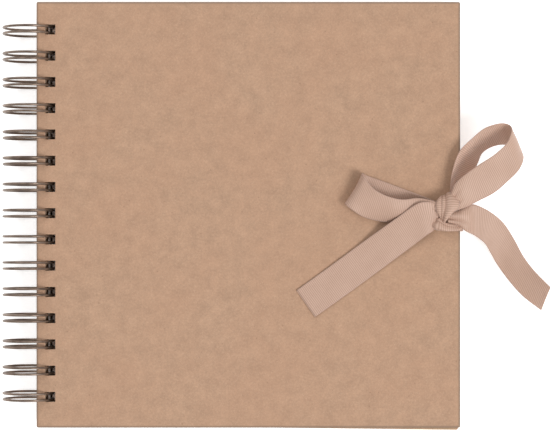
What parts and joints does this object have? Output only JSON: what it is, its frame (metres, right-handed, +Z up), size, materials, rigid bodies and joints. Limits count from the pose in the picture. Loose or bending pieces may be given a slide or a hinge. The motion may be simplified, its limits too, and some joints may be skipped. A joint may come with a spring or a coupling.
{
  "type": "scrapbook album",
  "caption": "Square kraft scrapbook album: card leaves between stiff boards turn on a twin-loop wire spine, tied shut with a grosgrain ribbon bow.",
  "frame": {"origin": "middle of the back cover's underside, which lies on the shelf or table", "axes": "+X from the spine towards the fore-edge, +Y towards the head, +Z up out of the front cover"},
  "size_m": [0.2664, 0.206, 0.0317],
  "materials": {
    "kraft_cover_paper": "matt kraft paper, finely mottled with short fibres",
    "grey_board": "cut edge of grey pressed board, matt",
    "kraft_card": "uncoated kraft card, matt",
    "bronze_wire": "dark bronze coated steel wire, glossy",
    "grosgrain_ribbon": "ribbed grosgrain with a soft sheen"
  },
  "bodies": {
    "back_cover": {"back_facing": "kraft_cover_paper", "back_board": "grey_board", "back_lining": "kraft_cover_paper", "binding_wire": "bronze_wire", "ribbon_back_anchor": "grosgrain_ribbon"},
    "leaf_20": {"leaf_20": "kraft_card"},
    "leaf_19": {"leaf_19": "kraft_card"},
    "leaf_18": {"leaf_18": "kraft_card"},
    "leaf_17": {"leaf_17": "kraft_card"},
    "leaf_16": {"leaf_16": "kraft_card"},
    "leaf_15": {"leaf_15": "kraft_card"},
    "leaf_14": {"leaf_14": "kraft_card"},
    "leaf_13": {"leaf_13": "kraft_card"},
    "leaf_12": {"leaf_12": "kraft_card"},
    "leaf_11": {"leaf_11": "kraft_card"},
    "leaf_10": {"leaf_10": "kraft_card"},
    "leaf_09": {"leaf_09": "kraft_card"},
    "leaf_08": {"leaf_08": "kraft_card"},
    "leaf_07": {"leaf_07": "kraft_card"},
    "leaf_06": {"leaf_06": "kraft_card"},
    "leaf_05": {"leaf_05": "kraft_card"},
    "leaf_04": {"leaf_04": "kraft_card"},
    "leaf_03": {"leaf_03": "kraft_card"},
    "leaf_02": {"leaf_02": "kraft_card"},
    "leaf_01": {"leaf_01": "kraft_card"},
    "front_cover": {"front_facing": "kraft_cover_paper", "front_board": "grey_board", "front_lining": "kraft_cover_paper", "ribbon_front_run": "grosgrain_ribbon", "ribbon_back_run": "grosgrain_ribbon", "bow_knot": "grosgrain_ribbon", "bow_left_loop": "grosgrain_ribbon", "bow_right_loop": "grosgrain_ribbon", "bow_left_tail": "grosgrain_ribbon", "bow_right_tail": "grosgrain_ribbon"}
  },
  "joints": [
    {"name": "leaf_20_turn", "type": "hinge", "parent": "back_cover", "child": "leaf_20", "pos_m": [-0.1071, 0, 0.0067], "axis": [0, -1, 0], "range_deg": [0, 180]},
    {"name": "leaf_19_turn", "type": "hinge", "parent": "leaf_20", "child": "leaf_19", "pos_m": [-0.1071, 0, 0.0067], "axis": [0, -1, 0], "range_deg": [0, 180]},
    {"name": "leaf_18_turn", "type": "hinge", "parent": "leaf_19", "child": "leaf_18", "pos_m": [-0.1071, 0, 0.0067], "axis": [0, -1, 0], "range_deg": [0, 180]},
    {"name": "leaf_17_turn", "type": "hinge", "parent": "leaf_18", "child": "leaf_17", "pos_m": [-0.1071, 0, 0.0067], "axis": [0, -1, 0], "range_deg": [0, 180]},
    {"name": "leaf_16_turn", "type": "hinge", "parent": "leaf_17", "child": "leaf_16", "pos_m": [-0.1071, 0, 0.0067], "axis": [0, -1, 0], "range_deg": [0, 180]},
    {"name": "leaf_15_turn", "type": "hinge", "parent": "leaf_16", "child": "leaf_15", "pos_m": [-0.1071, 0, 0.0067], "axis": [0, -1, 0], "range_deg": [0, 180]},
    {"name": "leaf_14_turn", "type": "hinge", "parent": "leaf_15", "child": "leaf_14", "pos_m": [-0.1071, 0, 0.0067], "axis": [0, -1, 0], "range_deg": [0, 180]},
    {"name": "leaf_13_turn", "type": "hinge", "parent": "leaf_14", "child": "leaf_13", "pos_m": [-0.1071, 0, 0.0067], "axis": [0, -1, 0], "range_deg": [0, 180]},
    {"name": "leaf_12_turn", "type": "hinge", "parent": "leaf_13", "child": "leaf_12", "pos_m": [-0.1071, 0, 0.0067], "axis": [0, -1, 0], "range_deg": [0, 180]},
    {"name": "leaf_11_turn", "type": "hinge", "parent": "leaf_12", "child": "leaf_11", "pos_m": [-0.1071, 0, 0.0067], "axis": [0, -1, 0], "range_deg": [0, 180]},
    {"name": "leaf_10_turn", "type": "hinge", "parent": "leaf_11", "child": "leaf_10", "pos_m": [-0.1071, 0, 0.0067], "axis": [0, -1, 0], "range_deg": [0, 180]},
    {"name": "leaf_09_turn", "type": "hinge", "parent": "leaf_10", "child": "leaf_09", "pos_m": [-0.1071, 0, 0.0067], "axis": [0, -1, 0], "range_deg": [0, 180]},
    {"name": "leaf_08_turn", "type": "hinge", "parent": "leaf_09", "child": "leaf_08", "pos_m": [-0.1071, 0, 0.0067], "axis": [0, -1, 0], "range_deg": [0, 180]},
    {"name": "leaf_07_turn", "type": "hinge", "parent": "leaf_08", "child": "leaf_07", "pos_m": [-0.1071, 0, 0.0067], "axis": [0, -1, 0], "range_deg": [0, 180]},
    {"name": "leaf_06_turn", "type": "hinge", "parent": "leaf_07", "child": "leaf_06", "pos_m": [-0.1071, 0, 0.0067], "axis": [0, -1, 0], "range_deg": [0, 180]},
    {"name": "leaf_05_turn", "type": "hinge", "parent": "leaf_06", "child": "leaf_05", "pos_m": [-0.1071, 0, 0.0067], "axis": [0, -1, 0], "range_deg": [0, 180]},
    {"name": "leaf_04_turn", "type": "hinge", "parent": "leaf_05", "child": "leaf_04", "pos_m": [-0.1071, 0, 0.0067], "axis": [0, -1, 0], "range_deg": [0, 180]},
    {"name": "leaf_03_turn", "type": "hinge", "parent": "leaf_04", "child": "leaf_03", "pos_m": [-0.1071, 0, 0.0067], "axis": [0, -1, 0], "range_deg": [0, 180]},
    {"name": "leaf_02_turn", "type": "hinge", "parent": "leaf_03", "child": "leaf_02", "pos_m": [-0.1071, 0, 0.0067], "axis": [0, -1, 0], "range_deg": [0, 180]},
    {"name": "leaf_01_turn", "type": "hinge", "parent": "leaf_02", "child": "leaf_01", "pos_m": [-0.1071, 0, 0.0067], "axis": [0, -1, 0], "range_deg": [0, 180]},
    {"name": "front_cover_turn", "type": "hinge", "parent": "leaf_01", "child": "front_cover", "pos_m": [-0.1071, 0, 0.0067], "axis": [0, -1, 0], "range_deg": [0, 180]}
  ]
}
